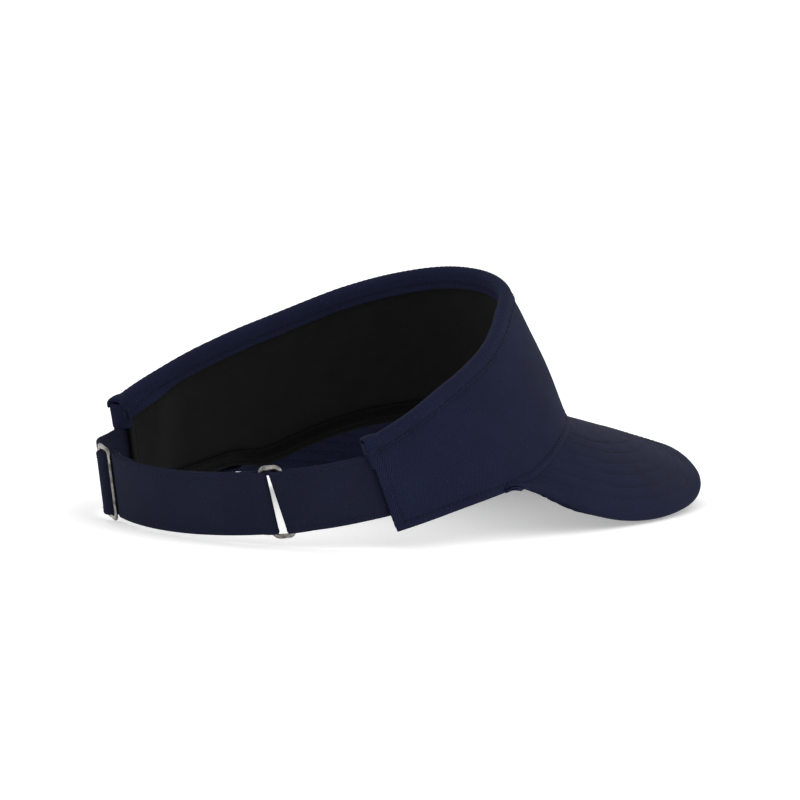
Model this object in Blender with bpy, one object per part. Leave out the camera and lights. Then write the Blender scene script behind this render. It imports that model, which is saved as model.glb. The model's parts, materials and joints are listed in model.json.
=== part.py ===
"""Adjustable sun visor: open crown band, curved brim, and a rear strap with a ring and a slider.

Everything is modelled in the band's own frame, in millimetres: origin at the centre of the head
oval on the plane of the crown's lower edge, brim towards -Y, wearer's left towards +X. One empty
then tips the band so that the visor rests on its brim and slider, with the floor at Z = 0.
"""

from math import cos, degrees, hypot, pi, radians, sin

import bmesh
import bpy
from mathutils import Vector

MM = 0.001

# Head oval: an egg-shaped superellipse, wider at the rear
HALF_WIDTH = 82.85
HALF_LENGTH = 100.7
EGG = -0.07
OVAL_POWER = 2.16

# Crown wall, at stations every 25 degrees from the front round to the ends
STATION_STEP = 25.0
EDGE_HEIGHT = (0.0, 2.5, 3.8, -0.6, 0.5, -1.2)
WALL_HEIGHT = (64.8, 60.8, 57.5, 53.9, 43.4, 36.7)
WALL_LEAN = (14.4, 16.4, 20.9, 18.7, 14.2, 3.2)
END_AT_EDGE = radians(116.75)
END_AT_TOP = radians(121.7)
END_CURVE_RADIUS = 93.0
CROWN_STEPS = 52

# How far the cloth hangs lower on the wearer's left, at the same stations
LEFT_DROOP = (0.0, 3.0, 7.0, 10.0, 11.5, 4.0)

# Cloth and board thicknesses, and the clearance left between neighbours
TWILL = 0.7
FELT = 0.8
BUCKRAM = 0.8
GAP = 0.3
BINDING = 0.8
BINDING_OUTSIDE = 5.5
BINDING_INSIDE = 7.5
HEM_WIDTH = 12.0
SEAM_ALLOWANCE = 8.0

# Felt tape round the inside of the lower edge; over the brim it hangs below the seam
TAPE_WIDTH = 7.0
TAPE_HANG = 4.0
TAPE_STAND_OFF = 2.2
TAPE_HANG_END = radians(84)

# Depth of each layer's outer face below the crown's outer face
SECOND_LAYER = TWILL + GAP
LINING_DEPTH = SECOND_LAYER + BUCKRAM + GAP
TAPE_DEPTH = LINING_DEPTH + FELT + GAP

# Brim, measured from the head oval; heights at stations round a quarter of its outline
BRIM_REACH = 79.6
BRIM_HALF_WIDTH = 84.6
BRIM_POWER = 2.23
BRIM_JOINT = radians(86.5)
BRIM_EDGE_HEIGHT = (-39.1, -44.3, -44.7, -33.3, -1.6)
BRIM_STATION_STEP = 22.5
BRIM_SAG_POWER = 22  # keeps the edge's share of the crown's droop to its rear corner
BRIM_CROWNING_FRONT = 0.9
BRIM_CROWNING_SIDE = 3.5
BRIM_BOARD = 1.8
BOARD_END = radians(78)
TIP_TURN = radians(12)
BRIM_TIP = 1.2
BRIM_STEPS = 48

# Strap of one-inch webbing, laid out along an arc about the band's axis
STRAP_WIDTH = 25.4
STRAP_BOTTOM = 5.9
STRAP_CENTRE_Y = 17.8
STRAP_RADIUS = 81.5
PLY = 0.9
PLY_OFFSET = (PLY + GAP) / 2
CROWN_END_ARC = radians(68.5)
STRAP_MEETS_CROWN = radians(61.5)
STRAP_TUCK = 12.0
FAR_DROP = 5.0

# Metal ring and slider
RING_ARC = radians(-36.5)
SLIDER_ARC = radians(27.0)
HARDWARE_HEIGHT = 29.8
HARDWARE_WINDOW = 26.0
RING_BAR = 2.0
RING_WIDTH = 10.0
RING_THICK = 1.8
SLIDER_WIDTH = 14.0
SLIDER_BAR = 2.0
SLIDER_THICK = 1.2
SLIDER_LIFT = 1.15

# Resting attitude: front tipped up about X
REST_TILT = radians(12.78)

TWILL_NAVY = (0.016, 0.022, 0.062)
FELT_BLACK = (0.008, 0.008, 0.009)
BOARD_WHITE = (0.62, 0.62, 0.60)
BUCKRAM_GREY = (0.35, 0.35, 0.34)
ANTIQUE_METAL = (0.32, 0.29, 0.26)


def clear_scene():
    for old in list(bpy.data.objects):
        bpy.data.objects.remove(old, do_unlink=True)


def material(name, colour, roughness, metallic=0.0):
    made = bpy.data.materials.get(name) or bpy.data.materials.new(name)
    made.use_nodes = True
    shader = made.node_tree.nodes["Principled BSDF"]
    shader.inputs["Base Color"].default_value = (*colour, 1.0)
    shader.inputs["Roughness"].default_value = roughness
    shader.inputs["Metallic"].default_value = metallic
    made.diffuse_color = (*colour, 1.0)
    return made


def eased(x):
    x = min(max(x, 0.0), 1.0)
    return x * x * (3 - 2 * x)


def steps(low, high, count):
    return [low + (high - low) * i / count for i in range(count + 1)]


def profile(values, step, angle):
    """Value at an angle either side of the front, curving smoothly through the stations."""
    place = min(abs(degrees(angle)) / step, len(values) - 1.0)
    i = min(int(place), len(values) - 2)
    f = place - i
    before = values[i - 1] if i else values[1]
    after = values[i + 2] if i + 2 < len(values) else 2 * values[i + 1] - values[i]
    rise_here = (values[i + 1] - before) / 2
    rise_next = (after - values[i]) / 2
    blend = f * f * (3 - 2 * f)
    bend = f * (1 - f)
    straight = values[i] * (1 - blend) + values[i + 1] * blend
    return straight + bend * ((1 - f) * rise_here - f * rise_next)


# ---------------------------------------------------------------- crown surface


def oval(angle):
    """Point on the head oval; angle 0 is the front, positive towards the wearer's left."""
    power = 2 / OVAL_POWER
    side, front = sin(angle), cos(angle)
    half = HALF_WIDTH * (1 + EGG * front)
    x = half * abs(side) ** power * (1 if side > 0 else -1)
    y = -HALF_LENGTH * abs(front) ** power * (1 if front > 0 else -1)
    return Vector((x, y, 0))


def oval_normal(angle):
    """Horizontal direction out of the oval."""
    along = oval(angle + 0.01) - oval(angle - 0.01)
    return Vector((along.y, -along.x, 0)).normalized()


def wall_height(angle):
    return profile(WALL_HEIGHT, STATION_STEP, angle)


def lower_edge(angle):
    """Lift of the crown's lower edge, below zero where the cloth hangs lower."""
    return -profile(LEFT_DROOP, STATION_STEP, angle) if angle > 0 else 0.0


def wall_point(angle, lift, depth):
    """Point in the crown wall: lift up its slope, depth in from its outer face."""
    lean = radians(profile(WALL_LEAN, STATION_STEP, angle))
    out = oval_normal(angle)
    up = Vector((0, 0, cos(lean))) - out * sin(lean)
    face = out * cos(lean) + Vector((0, 0, sin(lean)))
    edge = oval(angle) + Vector((0, 0, profile(EDGE_HEIGHT, STATION_STEP, angle)))
    return edge + up * lift - face * depth


def strap_room(distance, lift):
    """How far the inner layers stand off within a distance of a crown end, over the strap's end."""
    near_end = 1 - eased((distance - STRAP_TUCK - 3.0) / 20)
    below_top = 1 - eased((lift - 33.0) / 5.0)
    return (2 * PLY + 2 * GAP + 0.2) * near_end * below_top


def crown_point(u, lift, depth, inset=0.0, over_strap=False):
    """Crown wall point with u from -1 at the wearer's right end to 1 at the left end."""
    share = lift / wall_height(u * END_AT_EDGE)
    end = END_AT_EDGE + (END_AT_TOP - END_AT_EDGE) * share - inset / END_CURVE_RADIUS
    if over_strap:
        depth += strap_room((END_AT_EDGE - abs(u * end)) * END_CURVE_RADIUS, lift)
    return wall_point(u * end, lift, depth)


# ---------------------------------------------------------------- strap surface


def strap_point(x, y, z):
    """Point of the strap: x along it from the rear centre, y out from its middle, z up the band."""
    arc = x / STRAP_RADIUS
    radius = STRAP_RADIUS + y
    free = Vector((radius * sin(arc), STRAP_CENTRE_Y + radius * cos(arc), z))
    start = SLIDER_ARC + 0.12 if arc > 0 else -RING_ARC + 0.12
    share = eased((abs(arc) - start) / (STRAP_MEETS_CROWN - start))
    if share == 0:
        return free
    angle = (END_AT_EDGE - (abs(arc) - CROWN_END_ARC) * 0.865) * (1 if arc > 0 else -1)
    lean = radians(profile(WALL_LEAN, STATION_STEP, angle))
    height = z - (FAR_DROP if arc > 0 else 0.0)
    lift = (height - profile(EDGE_HEIGHT, STATION_STEP, angle)) / cos(lean)
    depth = SECOND_LAYER + TWILL + GAP + (PLY_OFFSET + PLY / 2 - y)
    return free.lerp(wall_point(angle, lift, depth), share)


def smooth_path(corners, splits=4):
    """Curve through the corners, with the same number of points between each two."""
    path = []
    ends = [corners[0]] + list(corners) + [corners[-1]]
    for a, b, c, d in zip(ends, ends[1:], ends[2:], ends[3:]):
        for k in range(splits):
            f = k / splits
            path.append(
                tuple(
                    q + f * (r - p + f * (2 * p - 5 * q + 4 * r - s + f * (3 * (q - r) + s - p))) / 2
                    for p, q, r, s in zip((a[0], a[1]), b, c, d)
                )
            )
    path.append(tuple(corners[-1]))
    return path


def fold(centre_x, radius, opens):
    """Half turn of the strap round a bar, from its outer side to its inner; opens is the open side."""
    return [
        (centre_x - opens * radius * sin(a), radius * cos(a))
        for a in steps(0.0, pi, 8)
    ]


# ---------------------------------------------------------------- bodies


def add_object(name, mesh, look, origin, parent):
    made = bpy.data.objects.new(name, mesh)
    bpy.context.scene.collection.objects.link(made)
    mesh.materials.append(look)
    made.location = Vector(origin) * MM
    made.parent = parent
    return made


def closed_sheet(name, face, back, look, parent, origin=(0, 0, 0)):
    """Closed solid between two grids of points, such as a cloth's face and its back."""
    rows, columns = len(face), len(face[0])
    shape = bmesh.new()
    middle = Vector(origin)
    a = [[shape.verts.new((p - middle) * MM) for p in row] for row in face]
    b = [[shape.verts.new((p - middle) * MM) for p in row] for row in back]
    for i in range(rows - 1):
        for j in range(columns - 1):
            shape.faces.new((a[i][j], a[i + 1][j], a[i + 1][j + 1], a[i][j + 1]))
            shape.faces.new((b[i][j], b[i][j + 1], b[i + 1][j + 1], b[i + 1][j]))
    for i in range(rows - 1):
        for j in (0, columns - 1):
            shape.faces.new((a[i][j], b[i][j], b[i + 1][j], a[i + 1][j]))
    for j in range(columns - 1):
        for i in (0, rows - 1):
            shape.faces.new((a[i][j], a[i][j + 1], b[i][j + 1], b[i][j]))
    bmesh.ops.recalc_face_normals(shape, faces=shape.faces)
    mesh = bpy.data.meshes.new(name)
    shape.to_mesh(mesh)
    shape.free()
    return add_object(name, mesh, look, origin, parent)


def crown_layer(name, look, parent, depth, thickness, lifts, span=(-1, 1), inset=0.0, over=False):
    """One layer of the crown wall; lifts gives its heights at a place u round the band."""
    count = max(2, round(CROWN_STEPS * (span[1] - span[0]) / 2))
    grids = []
    for deep in (depth, depth + thickness):
        grids.append(
            [
                [crown_point(u, lift, deep, inset, over) for lift in lifts(u)]
                for u in steps(*span, count)
            ]
        )
    return closed_sheet(name, *grids, look, parent)


def strap_piece(name, path, look, parent, origin=(0, 0, 0), width_steps=1):
    """Ribbon of webbing whose middle follows a path of (along, out) points."""
    grids = ([], [])
    last = len(path) - 1
    for i, (x, y) in enumerate(path):
        before, after = path[max(i - 1, 0)], path[min(i + 1, last)]
        along, out = after[0] - before[0], after[1] - before[1]
        length = hypot(along, out)
        side = (-out / length * PLY / 2, along / length * PLY / 2)
        for grid, sign in zip(grids, (1, -1)):
            grid.append(
                [
                    strap_point(x + sign * side[0], y + sign * side[1], z)
                    for z in steps(STRAP_BOTTOM, STRAP_BOTTOM + STRAP_WIDTH, width_steps)
                ]
            )
    return closed_sheet(name, *grids, look, parent, origin)


def windowed_plate(name, columns, rows, windows, thick, look, parent):
    """Flat plate in its local XZ plane with rectangular windows, its edges rounded over."""
    shape = bmesh.new()
    corners = {}

    def corner(x, y, z):
        key = (x, y, z)
        if key not in corners:
            corners[key] = shape.verts.new(Vector(key) * MM)
        return corners[key]

    solid = {
        (i, j)
        for i in range(len(columns) - 1)
        for j in range(len(rows) - 1)
        if (i, j) not in windows
    }
    for i, j in solid:
        x0, x1, z0, z1 = columns[i], columns[i + 1], rows[j], rows[j + 1]
        for y in (-thick / 2, thick / 2):
            shape.faces.new([corner(x, y, z) for x, z in ((x0, z0), (x1, z0), (x1, z1), (x0, z1))])
        sides = {
            (i - 1, j): ((x0, z0), (x0, z1)),
            (i + 1, j): ((x1, z0), (x1, z1)),
            (i, j - 1): ((x0, z0), (x1, z0)),
            (i, j + 1): ((x0, z1), (x1, z1)),
        }
        for beyond, ((xa, za), (xb, zb)) in sides.items():
            if beyond not in solid:
                loop = [(xa, -thick / 2, za), (xb, -thick / 2, zb), (xb, thick / 2, zb)]
                shape.faces.new([corner(*p) for p in loop + [(xa, thick / 2, za)]])
    bmesh.ops.recalc_face_normals(shape, faces=shape.faces)
    outer = [
        edge
        for edge in shape.edges
        if all(
            abs(abs(v.co.z) - rows[-1] * MM) < 1e-6
            and (abs(v.co.x - columns[0] * MM) < 1e-6 or abs(v.co.x - columns[-1] * MM) < 1e-6)
            for v in edge.verts
        )
    ]
    bmesh.ops.bevel(shape, geom=outer, offset=2.2 * MM, segments=4, profile=0.5, affect="EDGES")
    mesh = bpy.data.meshes.new(name)
    shape.to_mesh(mesh)
    shape.free()
    made = add_object(name, mesh, look, (0, 0, 0), parent)
    rounded = made.modifiers.new("rounded", "BEVEL")
    rounded.width = 0.4 * MM
    rounded.segments = 2
    rounded.limit_method = "ANGLE"
    rounded.angle_limit = radians(50)
    return made


# ---------------------------------------------------------------- crown


def make_crown(looks, parent):
    def top(u):
        return wall_height(u * END_AT_EDGE) - BINDING - GAP

    def low(u):
        return lower_edge(u * END_AT_EDGE)

    def full(u):
        return steps(low(u), top(u), 4)

    def above_allowance(u):
        return steps(low(u) + SEAM_ALLOWANCE + 1.5, top(u) - 0.5, 4)

    def hem(u):
        return steps(low(u) + 0.6, top(u) - 0.5, 3)

    def lining(u):
        covered = [top(u) - BINDING_INSIDE, top(u) - BINDING_INSIDE / 2, top(u) - 1.2]
        return [low(u) + 0.6, 9.0, 20.0] + covered

    twill, felt = looks["twill"], looks["felt"]
    crown_layer("crown_shell", twill, parent, 0.0, TWILL, full)
    crown_layer("crown_buckram", looks["buckram"], parent, SECOND_LAYER, BUCKRAM,
                above_allowance, inset=HEM_WIDTH + 2.0)
    crown_layer("crown_lining", felt, parent, LINING_DEPTH, FELT,
                lining, inset=0.6, over=True)
    hem_share = HEM_WIDTH / (END_CURVE_RADIUS * END_AT_EDGE)
    for side, span in (("left", (1 - hem_share, 1)), ("right", (-1, hem_share - 1))):
        crown_layer(f"crown_hem_{side}", twill, parent, SECOND_LAYER, TWILL, hem, span, inset=0.5)
    make_edge_tape(felt, parent)
    make_binding(twill, parent)


def make_edge_tape(look, parent):
    """Felt tape sewn over the lining's lower edge, standing off it where it hangs past the brim."""
    grids = ([], [])
    for u in steps(-1, 1, CROWN_STEPS):
        angle = u * END_AT_EDGE
        hang = 1 - eased((abs(angle) - TAPE_HANG_END + 0.2) / 0.2)
        bottom = lower_edge(angle) + 0.6 - (TAPE_HANG + 0.6) * hang
        row = [bottom + TAPE_WIDTH * share for share in (0.0, 0.3, 0.6, 0.8, 1.0)]
        for grid, thick in zip(grids, (0.0, TWILL)):
            grid.append([])
            for lift in row:
                stand_off = hang * eased((bottom + TAPE_WIDTH - 0.8 - lift) / 3.0)
                deep = TAPE_DEPTH + TAPE_STAND_OFF * stand_off + thick
                grid[-1].append(crown_point(u, lift, deep, 0.8, True))
    closed_sheet("edge_tape", *grids, look, parent)


def make_binding(look, parent):
    """Binding folded over the crown's top edge, thicker than the edge it covers."""
    inside = LINING_DEPTH + FELT + 2.5 * GAP
    inner = [
        (-GAP, -BINDING_OUTSIDE),
        (-GAP, -BINDING_OUTSIDE / 2),
        (-GAP, -0.2),
        (0.1, GAP),
        (inside - 0.6, GAP),
        (inside, -0.4),
        (inside, -BINDING_INSIDE / 2),
        (inside, -BINDING_INSIDE),
    ]
    outer = [
        (-GAP - BINDING, -BINDING_OUTSIDE),
        (-GAP - BINDING, -BINDING_OUTSIDE / 2),
        (-GAP - BINDING, 0.0),
        (-0.4, GAP + BINDING - 0.15),
        (inside - 0.3, GAP + BINDING - 0.15),
        (inside + BINDING, -0.3),
        (inside + BINDING, -BINDING_INSIDE / 2),
        (inside + BINDING, -BINDING_INSIDE),
    ]
    grids = []
    for outline in (outer, inner):
        grid = []
        for u in steps(-1, 1, CROWN_STEPS):
            edge = wall_height(u * END_AT_EDGE) - BINDING - GAP
            grid.append(
                [crown_point(u, edge + rise, deep, 0.0, deep > 2) for deep, rise in outline]
            )
        grids.append(grid)
    closed_sheet("top_binding", *grids, look, parent)


# ---------------------------------------------------------------- brim


def brim_surface(turn, share):
    """Top of the brim: turn from -90 to 90 degrees round it, share from the crown to its edge."""
    joint = oval(BRIM_JOINT)
    power = 2 / BRIM_POWER
    side, front = sin(turn), max(cos(turn), 0.0)
    reach = HALF_LENGTH + BRIM_REACH + joint.y
    seam_angle = turn / (pi / 2) * BRIM_JOINT
    sag = lower_edge(seam_angle) * side**BRIM_SAG_POWER
    edge = Vector(
        (
            BRIM_HALF_WIDTH * abs(side) ** power * (1 if side > 0 else -1),
            joint.y - reach * front**power,
            profile(BRIM_EDGE_HEIGHT, BRIM_STATION_STEP, turn) + sag,
        )
    )
    seam = wall_point(seam_angle, lower_edge(seam_angle) - 1.5 * GAP, TWILL / 2)
    tip = seam + oval_normal(seam_angle) * BRIM_TIP
    edge = edge.lerp(tip, eased((abs(turn) - BOARD_END) / TIP_TURN))
    crowning = BRIM_CROWNING_FRONT * front**2 + BRIM_CROWNING_SIDE * side**2 * front**0.5
    point = seam.lerp(edge, share)
    point.z += 4 * crowning * share * (1 - share)
    return point


def brim_point(turn, share, depth):
    """Point below the brim's top surface by depth, square to the surface."""
    step = 0.02
    turn_low, turn_high = max(turn - step, -pi / 2), min(turn + step, pi / 2)
    along = brim_surface(turn_high, max(share, 0.1)) - brim_surface(turn_low, max(share, 0.1))
    out = brim_surface(turn, share + step) - brim_surface(turn, share - step)
    down = along.cross(out).normalized()
    if down.z > 0:
        down.negate()
    return brim_surface(turn, share) + down * depth


def brim_layer(name, look, parent, depth, thickness, inset, draws, round_to=pi / 2):
    """One layer of the brim; draws are how far its face and back draw in from the edge.

    Past the board's ends, a layer that lies below the board closes up to the top cover.
    """
    grids = []
    for deep, draw in ((depth, draws[0]), (depth + thickness, draws[1])):
        grid = []
        for turn in steps(-round_to, round_to, BRIM_STEPS):
            length = (brim_surface(turn, 1) - brim_surface(turn, 0)).length
            past_board = eased((abs(turn) - BOARD_END) / TIP_TURN)
            rise = past_board * max(depth - TWILL - GAP, 0.0)
            end = 1 - min(inset + draw, 0.35 * length) / length
            row = []
            for share in (0.0, 0.2, 0.45, 0.7, 0.88, 0.96, 1.0):
                row.append(brim_point(turn, share * end, deep - rise))
            grid.append(row)
        grids.append(grid)
    return closed_sheet(name, *grids, look, parent)


def make_brim(looks, parent):
    board_depth = TWILL + GAP
    under_depth = board_depth + BRIM_BOARD + GAP
    brim_layer("brim_top_cover", looks["twill"], parent, 0.0, TWILL, 0.0, (0.5, 0.0))
    brim_layer("brim_board", looks["board"], parent, board_depth, BRIM_BOARD, 1.6, (0.0, 0.0),
               BOARD_END)
    brim_layer("brim_under_cover", looks["twill"], parent, under_depth, TWILL, 0.0, (0.0, 0.5))
    share = BRIM_JOINT / END_AT_EDGE

    def allowance(u):
        low = lower_edge(u * END_AT_EDGE)
        return steps(low + 0.6, low + SEAM_ALLOWANCE, 2)

    crown_layer("brim_seam_allowance", looks["twill"], parent, SECOND_LAYER, TWILL,
                allowance, (-share, share))


# ---------------------------------------------------------------- strap and hardware


def ring_pivot():
    """Middle of the ring's bar in the tab, square along the strap from the ring's own middle."""
    along = -(RING_WIDTH - RING_BAR) / 2
    x = STRAP_RADIUS * sin(RING_ARC) + cos(RING_ARC) * along
    y = STRAP_CENTRE_Y + STRAP_RADIUS * cos(RING_ARC) - sin(RING_ARC) * along
    return Vector((x, y, STRAP_BOTTOM + STRAP_WIDTH / 2))


def make_ring(look, parent):
    """Rectangular ring; its origin is the middle of the bar held by the tab."""
    half, window = RING_WIDTH / 2, RING_WIDTH / 2 - RING_BAR
    columns = (-half, -window, window, half)
    rows = (-HARDWARE_HEIGHT / 2, -HARDWARE_WINDOW / 2, HARDWARE_WINDOW / 2, HARDWARE_HEIGHT / 2)
    ring = windowed_plate("ring", columns, rows, {(1, 1)}, RING_THICK, look, parent)
    for vertex in ring.data.vertices:
        vertex.co.x += (half - RING_BAR / 2) * MM
    ring.rotation_euler = (0, 0, -RING_ARC)
    ring.location = ring_pivot() * MM
    return ring


def make_slider(look, parent):
    """Three-bar slider; its origin is on the axis of the strap's arc, where it turns about."""
    half, slot = SLIDER_WIDTH / 2, SLIDER_WIDTH / 2 - SLIDER_BAR
    columns = (-half, -slot, -SLIDER_BAR / 2, SLIDER_BAR / 2, slot, half)
    rows = (-HARDWARE_HEIGHT / 2, -HARDWARE_WINDOW / 2, HARDWARE_WINDOW / 2, HARDWARE_HEIGHT / 2)
    slider = windowed_plate("slider", columns, rows, {(1, 1), (3, 1)}, SLIDER_THICK, look, parent)
    for vertex in slider.data.vertices:
        vertex.co.y += (STRAP_RADIUS + SLIDER_LIFT) * MM
        vertex.co.z += (STRAP_BOTTOM + STRAP_WIDTH / 2) * MM
    slider.rotation_euler = (0, 0, -SLIDER_ARC)
    slider.location = Vector((0, STRAP_CENTRE_Y, 0)) * MM
    return slider


def make_strap(look, parent):
    ring_x, slider_x = RING_ARC * STRAP_RADIUS, SLIDER_ARC * STRAP_RADIUS
    crown_x = CROWN_END_ARC * STRAP_RADIUS
    bar = RING_WIDTH / 2 - RING_BAR / 2
    fold_radius = RING_BAR / 2 + GAP + PLY / 2
    y = PLY_OFFSET
    seam = 0.25
    slider_reach = 9.2
    turn_reach = 9.5

    # Tab: from under the wearer's right crown end, round the ring's near bar and back
    tab_bar = ring_x - bar
    outside = [(x, y) for x in steps(-crown_x - STRAP_TUCK, tab_bar - 7, 8)]
    outside.append((tab_bar - 3.5, (y + fold_radius) / 2))
    inside = [(x, -out) for x, out in reversed(outside)]
    tab = outside + fold(tab_bar, fold_radius, -1) + inside
    strap_piece("tab_strap", tab, look, parent, width_steps=2)

    # Main strap, in the pieces that its two joints move apart
    far_start = slider_x + slider_reach + seam
    far = [(x, y) for x in steps(far_start, crown_x + STRAP_TUCK, 14)]
    strap_piece("strap_far_run", far, look, parent, width_steps=3)

    turn_start = ring_x + turn_reach
    near = [(x, y) for x in steps(turn_start + seam, slider_x - slider_reach - seam, 16)]
    strap_piece("strap_near_run", near, look, parent)
    back = [(x, -y) for x in steps(turn_start + seam, slider_x - slider_reach - seam, 16)]
    strap_piece("strap_return_run", back, look, parent)

    strap_bar = ring_x + bar
    lead = [(turn_start, y), (turn_start - 1.5, y + 0.1), (strap_bar + 2.2, (y + fold_radius) / 2 + 0.2)]
    turn = lead + fold(strap_bar, fold_radius, 1) + [(x, -out) for x, out in reversed(lead)]
    strap_piece("strap_ring_turn", turn, look, parent, ring_pivot())

    axis = (0, STRAP_CENTRE_Y, 0)
    hump = [(9.2, 0.6), (7.6, 0.15), (6.0, -0.35), (4.4, 0.05), (3.15, 1.1), (2.3, 3.0), (0.0, 3.75)]
    hump += [(-x, out) for x, out in reversed(hump[:-1])]
    over = [(slider_x + x, out) for x, out in smooth_path(hump)]
    strap_piece("strap_over_slider", over, look, parent, axis)

    wrap = [(-9.2, -0.6), (-7.6, -1.1), (-6.0, -1.6), (-3.5, -1.1), (-2.0, 0.2), (-1.8, 1.15)]
    wrap += [(-1.25, 2.15), (0.0, 2.55), (1.25, 2.15), (1.8, 1.15), (1.5, 0.2), (0.4, -0.75)]
    wrap += [(-1.4, -1.75), (-3.6, -2.45), (-6.0, -2.85), (-7.6, -2.45), (-9.2, -1.9), (-13.0, -1.85)]
    wrap += [(-17.0, -1.85), (-21.5, -1.85)]
    end = [(slider_x + x, out) for x, out in smooth_path(wrap, 3)]
    strap_piece("strap_end_fold", end, look, parent, axis)


# ---------------------------------------------------------------- assembly


def rest_on_floor(band):
    """Move the band so that the part's box stands centred on the origin, on Z = 0."""
    bpy.context.view_layer.update()
    corners = []
    graph = bpy.context.evaluated_depsgraph_get()
    for piece in band.children:
        shown = piece.evaluated_get(graph)
        corners += [shown.matrix_world @ v.co for v in shown.data.vertices]
    low = Vector([min(c[i] for c in corners) for i in range(3)])
    high = Vector([max(c[i] for c in corners) for i in range(3)])
    middle = (low + high) / 2
    band.location = (-middle.x, -middle.y, -low.z)
    bpy.context.view_layer.update()


def main():
    clear_scene()
    looks = {
        "twill": material("navy_twill", TWILL_NAVY, 0.85),
        "felt": material("black_felt", FELT_BLACK, 0.95),
        "buckram": material("grey_buckram", BUCKRAM_GREY, 0.8),
        "board": material("white_board", BOARD_WHITE, 0.5),
        "strap": material("navy_strap", TWILL_NAVY, 0.8),
        "metal": material("antique_metal", ANTIQUE_METAL, 0.35, 1.0),
    }
    band = bpy.data.objects.new("band_frame", None)
    bpy.context.scene.collection.objects.link(band)
    band.rotation_euler = (-REST_TILT, 0, 0)
    make_crown(looks, band)
    make_brim(looks, band)
    make_strap(looks["strap"], band)
    make_ring(looks["metal"], band)
    make_slider(looks["metal"], band)
    rest_on_floor(band)


main()
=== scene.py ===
"""Cloth, stitching and metal for the sun visor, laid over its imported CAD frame.

Shapes are worked out in the band's own frame, in millimetres: origin at the centre of the head
oval on the plane of the crown's lower edge, brim towards -Y, wearer's left towards +X. to_row()
turns them into the row frame in metres, by the place and axis of the slider's joint.
"""

import json
from math import cos, radians, sin

import bmesh
import bpy
import numpy as np
from mathutils import Matrix, Vector


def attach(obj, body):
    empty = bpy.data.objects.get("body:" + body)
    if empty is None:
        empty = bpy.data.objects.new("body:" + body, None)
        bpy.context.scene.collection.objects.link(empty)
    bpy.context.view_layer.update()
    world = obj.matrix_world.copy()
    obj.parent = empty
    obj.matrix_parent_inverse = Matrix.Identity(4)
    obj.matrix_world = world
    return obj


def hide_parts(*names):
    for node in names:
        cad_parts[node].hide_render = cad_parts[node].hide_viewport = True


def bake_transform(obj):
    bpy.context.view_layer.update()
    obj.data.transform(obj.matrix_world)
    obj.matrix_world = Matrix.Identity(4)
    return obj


MM = 0.001

# Head oval: an egg-shaped superellipse, wider at the rear
HALF_WIDTH = 82.85
HALF_LENGTH = 100.7
EGG = -0.07
OVAL_POWER = 2.16

# Crown wall, at stations every 25 degrees from the front round to the ends
STATION_STEP = 25.0
EDGE_HEIGHT = (0.0, 2.5, 3.8, -0.6, 0.5, -1.2)
WALL_HEIGHT = (64.8, 60.8, 57.5, 53.9, 43.4, 36.7)
WALL_LEAN = (14.4, 16.4, 20.9, 18.7, 14.2, 3.2)
END_AT_EDGE = radians(116.75)
END_AT_TOP = radians(121.7)
END_CURVE_RADIUS = 93.0
HALF_GIRTH = END_AT_EDGE * END_CURVE_RADIUS

# How far the cloth hangs lower on the wearer's left, at the same stations
LEFT_DROOP = (0.0, 3.0, 7.0, 10.0, 11.5, 4.0)

# Layers: depths are below the crown's outer face, and seams are in from the shell's edges
GAP = 0.3
SHELL_MIDDLE = 0.4
SHELL_SINGLE = 0.85
SHELL_FOLDED = 1.35
HEM_SEAM = 3.0
END_SEAM = 3.8
LINING_MIDDLE = 2.5
LINING_INSET = 2.2
CROWN_TOP_CLEARANCE = 1.1
FRONT_BULGE = 1.5

# Felt tape round the inside of the lower edge; over the brim it hangs below the seam
TAPE_MIDDLE = 3.55
TAPE_WIDTH = 7.0
TAPE_HANG = 4.0
TAPE_STAND_OFF = 2.2
TAPE_HANG_END = radians(84)

# Binding over the crown's top edge, down its outside and its inside
BINDING_OUTSIDE = 5.5
BINDING_INSIDE = 7.5
BINDING_SEAM = 4.6
OUTER_ROW = 0.9
INNER_ROW = 2.9
WRAP_HEIGHT = 11.0

# Brim
BRIM_REACH = 79.6
BRIM_HALF_WIDTH = 84.6
BRIM_POWER = 2.23
BRIM_JOINT = radians(86.5)
BRIM_EDGE_HEIGHT = (-39.1, -44.3, -44.7, -33.3, -1.6)
BRIM_STATION_STEP = 22.5
BRIM_SAG_POWER = 22
BRIM_CROWNING_FRONT = 0.9
BRIM_CROWNING_SIDE = 3.5
BRIM_TOTAL = 3.8
BRIM_TIP_TOTAL = 1.7
BOARD_END = radians(78)
TIP_TURN = radians(12)
BRIM_TIP = 1.2
BRIM_ROWS = 6
BRIM_FIRST_ROW = 8.75
BRIM_ROW_SPACING = 5.6

# The brim cloth's lift at the crown seam and at its right tip, and its fall at its left tip
SEAM_TUCK = 0.45
TIP_TUCK = 2.6
TIP_SAG = 1.8

# Strap of one-inch webbing, along an arc about the band's axis
STRAP_WIDTH = 25.4
STRAP_BOTTOM = 5.9
STRAP_CENTRE_Y = 17.8
STRAP_RADIUS = 81.5
PLY = 0.95
PLY_OFFSET = 0.6
CROWN_END_ARC = radians(68.5)
STRAP_MEETS_CROWN = radians(61.5)
STRAP_TUCK = 12.0
FAR_DROP = 5.0
STRAP_SEAM = 2.3

# Metal ring and slider
RING_ARC = radians(-36.5)
SLIDER_ARC = radians(27.0)
HARDWARE_HEIGHT = 29.8
RING_BAR = 2.0
RING_WIDTH = 10.0
RING_THICK = 1.8
SLIDER_WIDTH = 14.0
SLIDER_BAR = 2.0
SLIDER_THICK = 1.2
SLIDER_LIFT = 1.15

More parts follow.
